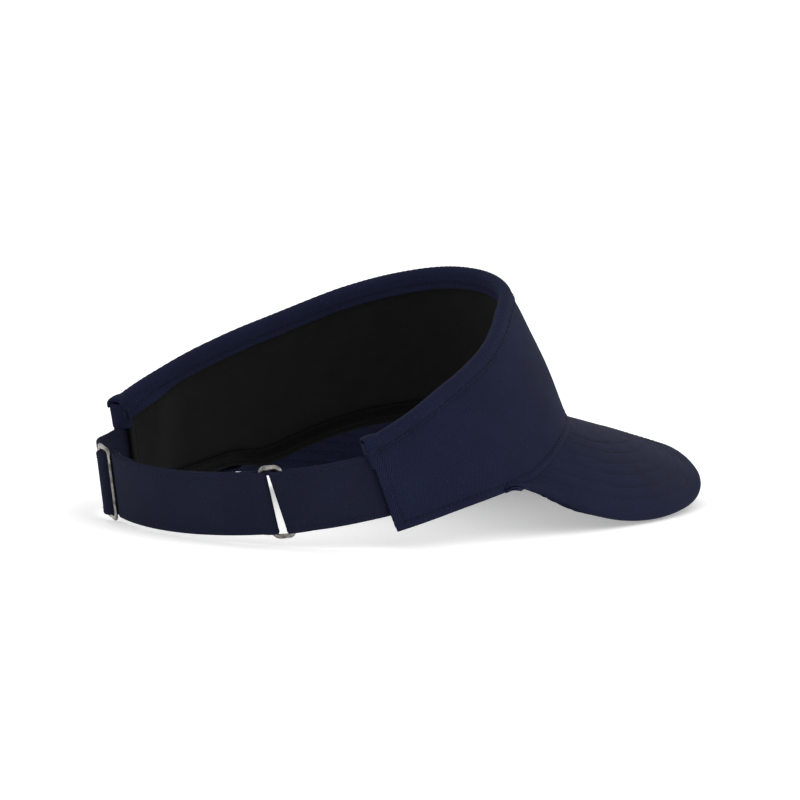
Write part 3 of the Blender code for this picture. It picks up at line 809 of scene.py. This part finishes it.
def binding_section():
    """Middle of the binding across its width, as (depth, rise) about the crown's top edge."""
    corners = [(-0.52, -BINDING_OUTSIDE)]
    corners += [(-0.55, rise) for rise in (-4.9, -4.2, -3.2, -2.2, -1.2)]
    corners += [(-0.42, -0.4), (0.05, 0.3), (0.95, 0.72), (2.0, 0.75), (3.1, 0.5), (3.9, -0.1)]
    corners += [(4.15, rise) for rise in (-1.0, -2.4, -3.8, -4.6, -5.4, -6.4)]
    corners += [(4.15, -BINDING_INSIDE)]
    return rounded_route(corners, 0.5, 6, marks=(OUTER_ROW, -INNER_ROW))


def make_binding():
    across, depth, rise = binding_section()
    a = places(-HALF_GIRTH, HALF_GIRTH, 0.65, rims=(-HALF_GIRTH, HALF_GIRTH))
    lift = crown_top(a)[:, None] + rise[None]
    inside = eased((depth - 2.0) / 1.5)[None]
    room = crown_surface(a[:, None], lift, depth[None] + 0 * lift, True)
    outer = crown_surface(a[:, None], lift, depth[None] + 0 * lift, False)
    points = outer + (room - outer) * inside[..., None]
    thick = 0.78 + 0.3 * np.exp(-((across / 0.9) ** 2)) + 0.3 * np.exp(-(((across[-1] - across) / 1.4) ** 2))
    along = a[:, None]
    puckers = dip(across[None] - OUTER_ROW, along, 0.22, 0.4)
    puckers = puckers + dip(across[-1] - INNER_ROW - across[None], along, 0.3, 0.6)
    ripple = 0.05 * np.sin(2 * np.pi * along / 3.1 + 3 * np.sin(along / 9.0)) * eased(across[None] / 2)
    binding, middle, _ = thick_sheet(
        "top_binding_twill", points, thick[None], looks["binding"], "abcd", puckers + ripple)

    def outside(u, v):
        return crown_surface(u, v + crown_top(u), -1.0)

    def inner(u, v):
        return crown_surface(u, v + crown_top(u), 4.5, True)

    span = np.linspace(-HALF_GIRTH + 4.5, HALF_GIRTH - 4.5, 900)
    lines = (("outside", surface_line(outside, span, -BINDING_SEAM)),
             ("inside", surface_line(inner, span, -BINDING_SEAM, True)))
    rows = [stitch_row(f"binding_stitches_{name}", *line, looks["thread"]) for name, line in lines]
    for side, name in ((-1, "right"), (1, "left")):
        where = side * (HALF_GIRTH - np.linspace(4.2, 6.8, 6))
        drops = np.linspace(-1.3, 1.3, 7)
        for k, spot in enumerate(where):
            line = surface_line(outside, spot, -BINDING_SEAM + drops)
            rows.append(stitch_row(f"binding_tack_{name}_{k}", *line, looks["thread"], pitch=2.6, length=2.4))
    tongues = [make_tongue("binding_end_right", -1), make_tongue("binding_end_left", 1)]
    tongues += [make_end_wrap("binding_wrap_right", -1), make_end_wrap("binding_wrap_left", 1)]
    settle([binding] + rows + tongues)
    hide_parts("top_binding")


def make_tongue(name, side):
    """End of the binding, folded over the crown's end and down its inside."""
    route = [(-0.9, -2.2), (-1.05, -0.6), (-0.5, 1.1), (1.0, 1.75), (3.0, 1.6), (4.6, 0.7), (5.3, -1.2)]
    route += [(5.45, -3.5), (5.4, -6.0), (5.2, -8.5), (4.9, -10.5), (4.7, -11.8)]
    t, depth, rise = rounded_route(route, 0.4, 8)
    down = t / t[-1]
    near = -0.9 + 2.4 * eased((down - 0.75) / 0.25)
    far = 6.2 - 0.6 * eased(down / 0.5) - 1.6 * eased((down - 0.7) / 0.3)
    w = places(0.0, 1.0, 0.06)
    inset = near[:, None] + (far - near)[:, None] * w[None]
    a = side * (HALF_GIRTH - inset)
    lift = crown_top(side * HALF_GIRTH) + rise[:, None] + 0 * a
    points = crown_surface(a, lift, depth[:, None] + 0 * a, False)
    puff = 1.0 + 0.5 * np.sin(np.pi * w)[None] * np.ones((len(t), 1))
    made, _, _ = thick_sheet(name, points, puff, looks["binding"], "abcd")
    return made


def make_end_wrap(name, side):
    """Binding's end, carried round the crown's end from its outside to its inside."""
    route = [(1.6, -0.35), (0.6, -0.6), (-0.3, -0.2), (-0.75, 1.2)]
    route += [(-0.75, 3.2), (-0.3, 4.9), (1.2, 5.5), (4.0, 5.6)]
    _, inset, depth = rounded_route(route, 0.4, 6)
    rise = places(-WRAP_HEIGHT, -0.3, 0.5, rims=(-WRAP_HEIGHT,))
    lift = crown_top(side * HALF_GIRTH) + rise[None] + 0 * inset[:, None]
    points = crown_surface(side * (HALF_GIRTH - inset[:, None]) + 0 * lift, lift, depth[:, None] + 0 * lift)
    made, _, _ = thick_sheet(name, points, 0.9, looks["binding"], "abcd")
    return made


# ---------------------------------------------------------------- brim


def brim_grid():
    turn = np.linspace(-np.pi / 2, np.pi / 2, 561)
    run = travelled(brim_surface(turn, 1.0))
    even = np.linspace(0, run[-1], 620)
    turn = np.interp(even, run, turn)
    far = places(0.0, 1.0, 1 / 105)
    close = np.array((0.972, 0.978, 0.983, 0.987, 0.990, 0.9925,
                      0.9945, 0.996, 0.9972, 0.9982, 0.9991, 0.9997))
    share = np.unique(np.concatenate([far, close]))
    points = brim_surface(turn[:, None], share[None])
    return turn, share, points


def distance_to_edge(points):
    """How far each grid point is from the brim's outer edge."""
    edge = points[:, -1]
    fine = np.concatenate([edge[:-1] + (edge[1:] - edge[:-1]) * f for f in (0.0, 0.5)] + [edge[-1:]])
    found = np.empty(points.shape[:2])
    for i, row in enumerate(points):
        found[i] = np.sqrt(((row[:, None] - fine[None]) ** 2).sum(-1).min(1))
    return found


def brim_row(turn, share, distance, wanted):
    """Line on the brim at one distance from its outer edge, as turns and shares."""
    turns, shares = [], []
    for i in range(len(turn)):
        if distance[i, 0] > wanted:
            turns.append(turn[i])
            shares.append(float(np.interp(wanted, distance[i, ::-1], share[::-1])))
    return np.array(turns), np.array(shares)


def make_brim():
    turn, share, points = brim_grid()
    up = -grid_normals(points)
    distance = distance_to_edge(points)
    past_board = eased((np.abs(turn) - BOARD_END) / TIP_TURN)
    total = (BRIM_TOTAL + (BRIM_TIP_TOTAL - BRIM_TOTAL) * past_board)[:, None]
    radius = total / 2 - 0.02
    inside = np.clip(distance / radius, 0, 1)
    rounding = radius * (1 - np.sqrt(1 - (1 - inside) ** 2))
    along = lengths(points, 0)
    row_places = [BRIM_FIRST_ROW + BRIM_ROW_SPACING * k for k in range(BRIM_ROWS)]
    body = eased(share / 0.04)[None]
    points[..., 2] += SEAM_TUCK * (1 - body)
    points[..., 2] += TIP_TUCK * eased((-turn - BOARD_END) / TIP_TURN)[:, None]
    points[..., 2] -= TIP_SAG * eased((turn - BOARD_END) / TIP_TURN)[:, None]
    puckers = sum(dip(distance - d, along, 0.2, 0.75) for d in row_places) * body
    waves = drift(points[..., 0], points[..., 1], 9, 0.18) * body * eased(distance / 12)
    uv = points[..., :2].copy()
    for name, node, sign, deep in (("brim_top_twill", "brim_top_cover", 1, 0.0),
                                   ("brim_under_twill", "brim_under_cover", -1, total)):
        face = points - up * (deep + sign * rounding)[..., None] + up * (sign * puckers + waves)[..., None]
        normal = -grid_normals(face) * sign
        made = closed_grid(name, face, face - normal * 0.7, uv, looks["brim"])
        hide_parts(node)
        rows = []
        for k, d in enumerate(row_places):
            turns, shares = brim_row(turn, share, distance, d)
            line = brim_surface(turns, shares)
            out = unit(np.cross(brim_surface(turns, shares + 0.01) - brim_surface(turns, shares - 0.01),
                                brim_surface(turns + 0.01, shares) - brim_surface(turns - 0.01, shares)))
            height = -0.16 if sign > 0 else -BRIM_TOTAL + 0.16
            rows.append(stitch_row(f"{name}_stitches_{k}", line + out * height, out * sign, looks["thread"]))
        settle([made] + rows)
    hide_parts("brim_seam_allowance")


# ---------------------------------------------------------------- strap


def smooth_path(corners, splits=5):
    """Curve through the corners, with the same number of points between each two."""
    ends = [corners[0]] + list(corners) + [corners[-1]]
    path = []
    for group in zip(ends, ends[1:], ends[2:], ends[3:]):
        p, q, r, s = (np.array(point[:2], float) for point in group)
        for k in range(splits):
            f = k / splits
            path.append(q + f * (r - p + f * (2 * p - 5 * q + 4 * r - s + f * (3 * (q - r) + s - p))) / 2)
    path.append(np.array(corners[-1], float))
    return path


def half_turn(centre, radius, opens, count=14):
    """Half turn of the strap round a bar, from its outer side to its inner."""
    turns = np.linspace(0, np.pi, count + 1)
    return [np.array((centre - opens * radius * sin(t), radius * cos(t))) for t in turns]


def straight(low, high, out, step=1.0):
    count = max(2, int(abs(high - low) / step))
    return [np.array((x, out)) for x in np.linspace(low, high, count + 1)]


def askew(x, z, lean):
    """Place along the strap, shifted where the webbing sits crooked on a bar; lean is (bar, slope)."""
    bar, slope = lean
    near = 1 - eased((np.abs(x - bar) - 2.0) / LEAN_REACH)
    return x + slope * (z - STRAP_BOTTOM - STRAP_WIDTH / 2) * near


def ribbon(name, path, ends="", thick=PLY, stitched=(1,), lean=(0.0, 0.0)):
    """Webbing that follows a path of (along, out) points, with a stitched row inside each edge."""
    path = np.array(path)
    tangent = unit(np.gradient(path, axis=0))
    side = np.stack([-tangent[:, 1], tangent[:, 0]], axis=-1)
    low, high = STRAP_BOTTOM, STRAP_BOTTOM + STRAP_WIDTH
    rows = (low + STRAP_SEAM, high - STRAP_SEAM)
    z = places(low, high, 1.2, marks=rows, rims=(low, high))
    points = strap_point(askew(path[:, :1], z[None], lean), path[:, 1:], z[None])
    run = lengths(points, 0)
    puckers = sum(dip(z[None] - row, run, 0.1, 0.4) for row in rows)
    selvedges = np.exp(-((z - low - 0.9) / 0.8) ** 2) + np.exp(-((high - 0.9 - z) / 0.8) ** 2)
    swell = thick * (1 + 0.25 * selvedges)
    made, middle, _ = thick_sheet(name, points, swell[None] + puckers, looks["strap"], "cd" + ends)
    stitches = []
    for sign in stitched:
        for row, place in zip(rows, ("lower", "upper")):
            shift = path + side * sign * (thick / 2 - 0.02)
            line = strap_point(askew(shift[:, 0], row, lean), shift[:, 1], row)
            above = path + side * sign * (thick / 2 + 0.5)
            out = unit(strap_point(askew(above[:, 0], row, lean), above[:, 1], row) - line)
            kind = "face" if sign > 0 else "back"
            stitches.append(stitch_row(f"{name}_stitches_{kind}_{place}", line, out, looks["thread"],
                                       radius=0.17))
    return made, stitches, middle


def ride_ribbon(made, stitches, middle, body, nodes, rests_on):
    for piece in [made] + stitches:
        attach(piece, body)
    if nodes:
        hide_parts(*nodes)


def blend_ribbon(made, stitches, middle, bodies, start, end, nodes, rests_on):
    points = [to_row(strap_point(x, 0.0, STRAP_BOTTOM + STRAP_WIDTH / 2)) for x in (start, end)]
    for piece in [made] + stitches:
        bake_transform(piece)
    if nodes:
        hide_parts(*nodes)


def make_tab(ring_x, crown_x):
    bar = ring_x - (RING_WIDTH - RING_BAR) / 2
    radius = RING_BAR / 2 + 0.3 + 0.45
    outside = straight(-crown_x - STRAP_TUCK, bar - 7, PLY_OFFSET)
    lead = [(bar - 7, PLY_OFFSET), (bar - 3.5, (PLY_OFFSET + radius) / 2), (bar, radius)]
    outside += smooth_path(lead)[1:-1]
    inside = [np.array((x, -out)) for x, out in reversed(outside)]
    tab = outside + half_turn(bar + TAB_SLACK, radius, -1) + inside
    made = ribbon("tab_strap_twill", tab, stitched=(1,), lean=(bar, TAB_LEAN))
    ride_ribbon(*made, "band", ["tab_strap"], ["ring"])


def make_long_strap(ring_x, slider_x, crown_x):
    bar = ring_x + (RING_WIDTH - RING_BAR) / 2
    radius = RING_BAR / 2 + 0.3 + 0.45
    reach = 9.2
    turn_end = ring_x + 9.5
    cut = -30.0
    y = PLY_OFFSET
    lean = (bar, RING_LEAN)
    far = straight(slider_x + reach, crown_x + STRAP_TUCK, y)
    blend_ribbon(*ribbon("strap_far_twill", far, stitched=(1, -1)), ("band", "slider"), crown_x - 2,
                 slider_x + reach, ["strap_far_run"], ["crown_shell_twill"])
    for name, sign in (("near", 1), ("return", -1)):
        by_ring = ribbon(f"strap_{name}_ring_twill", straight(turn_end, cut, sign * y),
                         stitched=(sign,), lean=lean)
        blend_ribbon(*by_ring, ("ring", "band"), turn_end, cut, [f"strap_{name}_run"], ["ring"])
        by_slider = ribbon(f"strap_{name}_slider_twill", straight(cut, slider_x - reach, sign * y),
                           stitched=(sign,))
        blend_ribbon(*by_slider, ("band", "slider"), cut, slider_x - reach, [], ["slider"])
    lead = [(turn_end, y), (turn_end - 1.5, y + 0.05), (bar + 2.4, (y + radius) / 2 + 0.15), (bar, radius)]
    lead = smooth_path(lead)[:-1]
    turn = lead + half_turn(bar, radius, 1) + [np.array((x, -out)) for x, out in reversed(lead)]
    by_bar = ribbon("strap_ring_turn_twill", turn, stitched=(), lean=lean)
    ride_ribbon(*by_bar, "ring", ["strap_ring_turn"], ["ring"])
    make_slider_folds(slider_x)


def make_slider_folds(slider_x):
    """Strap humped over the slider's bars, and its end sewn round the middle one."""
    hump = [(9.2, 0.6), (8.6, 0.56), (7.6, 0.2), (6.0, -0.3), (4.4, 0.05)]
    hump += [(3.15, 1.1), (2.3, 3.0), (0.0, 3.75)]
    hump += [(-x, out) for x, out in reversed(hump[:-1])]
    over = [np.array((slider_x, 0)) + point for point in smooth_path(hump, 5)]
    humped = ribbon("strap_over_slider_twill", over, stitched=(-1,))
    ride_ribbon(*humped, "slider", ["strap_over_slider"], ["slider"])
    wrap = [(-9.2, -0.6), (-8.6, -0.65), (-7.6, -1.1), (-6.0, -1.6), (-3.5, -1.1), (-2.0, 0.2), (-1.8, 1.15)]
    wrap += [(-1.25, 2.15), (0.0, 2.55), (1.25, 2.15), (1.8, 1.15), (1.5, 0.2), (0.4, -0.75)]
    wrap += [(-1.4, -1.75), (-3.6, -2.45), (-6.0, -2.85), (-7.6, -2.45), (-9.2, -1.9), (-13.0, -1.85)]
    wrap += [(-17.0, -1.85), (-21.5, -1.85)]
    end = [np.array((slider_x, 0)) + point for point in smooth_path(wrap, 5)]
    folded = ribbon("strap_end_fold_twill", end, "b", stitched=())
    ride_ribbon(*folded, "slider", ["strap_end_fold"], ["slider"])


# ---------------------------------------------------------------- metal


def rounded_loop(half_width, half_height, corner, count=9):
    """Closed rounded rectangle in a plane, as (x, z) points."""
    loop = []
    for k, (sx, sz) in enumerate(((1, 1), (-1, 1), (-1, -1), (1, -1))):
        turns = np.linspace(k * np.pi / 2, (k + 1) * np.pi / 2, count)
        for t in turns:
            x = sx * (half_width - corner) + corner * cos(t)
            z = sz * (half_height - corner) + corner * sin(t)
            loop.append((x, z))
    return np.array(loop)


def spaced_loop(loop, step):
    closed = np.concatenate([loop, loop[:1]])
    run = np.concatenate([[0.0], np.cumsum(np.hypot(*np.diff(closed, axis=0).T))])
    at = np.arange(0, run[-1], run[-1] / round(run[-1] / step))
    return np.stack([np.interp(at, run, closed[:, k]) for k in range(2)], axis=-1)


def wire(path, wide, deep, closed, square=2.6):
    """Points and faces of a bar with a rounded section swept along a path in the XZ plane."""
    tangent = unit(np.roll(path, -1, 0) - np.roll(path, 1, 0)) if closed else unit(np.gradient(path, axis=0))
    normal = np.stack([tangent[:, 1], -tangent[:, 0]], axis=-1)
    sides = 20
    t = np.arange(sides) * 2 * np.pi / sides
    across = np.abs(np.cos(t)) ** (2 / square) * np.sign(np.cos(t)) * wide / 2
    outward = np.abs(np.sin(t)) ** (2 / square) * np.sign(np.sin(t)) * deep / 2
    x = path[:, None, 0] + normal[:, None, 0] * across
    z = path[:, None, 1] + normal[:, None, 1] * across
    points = stacked(x, np.broadcast_to(outward, x.shape), z)
    count = len(path)
    faces = []
    for i in range(count if closed else count - 1):
        for j in range(sides):
            k, m = (i + 1) % count, (j + 1) % sides
            faces.append((i * sides + j, i * sides + m, k * sides + m, k * sides + j))
    if not closed:
        faces.append(tuple(range(sides)))
        faces.append(tuple((count - 1) * sides + j for j in reversed(range(sides))))
    return points.reshape(-1, 3), faces


def stand(points, arc, along):
    """Hardware points, modelled about its own middle, set on the strap's arc at an angle."""
    turned = points + np.array((along, 0, 0))
    x = turned[:, 0] * cos(arc) + turned[:, 1] * sin(arc)
    y = turned[:, 1] * cos(arc) - turned[:, 0] * sin(arc)
    return stacked(x, y + STRAP_CENTRE_Y, turned[:, 2] + STRAP_BOTTOM + STRAP_WIDTH / 2)


def make_ring():
    bar = 1.9
    loop = rounded_loop((RING_WIDTH - RING_BAR) / 2, (HARDWARE_HEIGHT - bar) / 2, 2.4)
    points, faces = wire(spaced_loop(loop, 0.45), bar, RING_THICK, True, 2.3)
    points[:, 0] += RING_LEAN * points[:, 2]
    points[:, 1] += STRAP_RADIUS
    ring = finish_mesh("ring_wire", stand(points, RING_ARC, 0.0), faces, looks["metal"])
    settle([ring], "ring")
    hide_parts("ring")


def make_slider():
    loop = rounded_loop((SLIDER_WIDTH - SLIDER_BAR) / 2, (HARDWARE_HEIGHT - 1.9) / 2, 1.9)
    rim_points, rim_faces = wire(spaced_loop(loop, 0.45), 1.95, SLIDER_THICK, True, 3.2)
    reach = (HARDWARE_HEIGHT - 1.9) / 2
    path = np.array([(0.0, z) for z in np.linspace(-reach, reach, 50)])
    bar_points, bar_faces = wire(path, 1.9, SLIDER_THICK * 0.96, False, 3.2)
    for points, faces, name in ((rim_points, rim_faces, "slider_rim"), (bar_points, bar_faces, "slider_bar")):
        points[:, 1] += STRAP_RADIUS + SLIDER_LIFT
        made = finish_mesh(name, stand(points, SLIDER_ARC, 0.0), faces, looks["metal"])
        settle([made], "slider")
        if name == "slider_rim":
            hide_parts("slider")


# ---------------------------------------------------------------- studio


def make_floor():
    mesh = bpy.data.meshes.new("studio_floor")
    reach, drop = 9.0, -0.0003
    corners = ((-reach, -reach), (reach, -reach), (reach, reach), (-reach, reach))
    mesh.from_pydata([(x, y, drop) for x, y in corners], [], [(0, 1, 2, 3)])
    made, _, shader = started("pale_floor")
    shader.inputs["Base Color"].default_value = (0.93, 0.93, 0.93, 1.0)
    shader.inputs["Roughness"].default_value = 0.9
    shader.inputs["Specular IOR Level"].default_value = 0.0
    shader.inputs["Emission Color"].default_value = (1.0, 1.0, 1.0, 1.0)
    shader.inputs["Emission Strength"].default_value = 0.3
    mesh.materials.append(made)
    floor = bpy.data.objects.new("studio_floor", mesh)
    bpy.context.scene.collection.objects.link(floor)


def make_light(name, place, aim, size, power):
    lamp = bpy.data.lights.new(name, "AREA")
    lamp.shape = "DISK"
    lamp.size = size
    lamp.energy = power
    made = bpy.data.objects.new(name, lamp)
    made.location = place
    made.rotation_mode = "QUATERNION"
    made.rotation_quaternion = (Vector(aim) - Vector(place)).to_track_quat("-Z", "Y")
    bpy.context.scene.collection.objects.link(made)


def make_camera():
    """Camera on the view's own axes, aimed so that the object sits off centre in the frame."""
    tip = np.array(Matrix.Rotation(VIEW_TIP, 3, "X"))
    turn, rise = VIEW_AZIMUTH, VIEW_ELEVATION
    forward = tip @ np.array((cos(turn) * cos(rise), -sin(turn) * cos(rise), -sin(rise)))
    right = tip @ np.array((-sin(turn), -cos(turn), 0.0))
    up = np.cross(right, forward)
    place = band_place - forward * VIEW_DISTANCE * MM
    target = band_place + (right * VIEW_OFFSET[0] + up * VIEW_OFFSET[1]) * MM
    ahead = unit(target - place)
    right = unit(np.cross(ahead, up))
    up = np.cross(right, ahead)
    right = right * cos(VIEW_ROLL) + up * sin(VIEW_ROLL)
    up = np.cross(right, ahead)
    camera = bpy.data.objects.new("camera", bpy.data.cameras.new("camera"))
    camera.data.sensor_width = 36.0
    camera.data.lens = VIEW_LENS
    camera.data.clip_start, camera.data.clip_end = 0.1, 60.0
    turned = np.eye(4)
    turned[:3, 0], turned[:3, 1], turned[:3, 2], turned[:3, 3] = right, up, -ahead, place
    camera.matrix_world = Matrix(turned.tolist())
    bpy.context.scene.collection.objects.link(camera)
    bpy.context.scene.camera = camera


def make_world():
    world = bpy.data.worlds.new("studio")
    world.use_nodes = True
    backdrop = world.node_tree.nodes["Background"]
    backdrop.inputs["Color"].default_value = (1.0, 1.0, 1.0, 1.0)
    backdrop.inputs["Strength"].default_value = 1.0
    bpy.context.scene.world = world
    bpy.context.scene.view_settings.view_transform = "Standard"


def main():
    for node, look in (("crown_buckram", "buckram"), ("brim_board", "board")):
        kept = bpy.data.objects[node]
        kept.data.materials.clear()
        kept.data.materials.append(looks[look])
    make_shell()
    make_lining()
    make_binding()
    make_brim()
    ring_x, slider_x = RING_ARC * STRAP_RADIUS, SLIDER_ARC * STRAP_RADIUS
    crown_x = CROWN_END_ARC * STRAP_RADIUS
    make_tab(ring_x, crown_x)
    make_long_strap(ring_x, slider_x, crown_x)
    make_ring()
    make_slider()
    make_floor()
    make_light("key", (-1.2, -1.9, 1.9), (0, 0, 0.05), 1.6, 2.5)
    make_light("fill", (-2.2, 0.9, 1.3), (0, 0, 0.05), 1.8, 4.0)
    make_camera()
    make_world()


main()
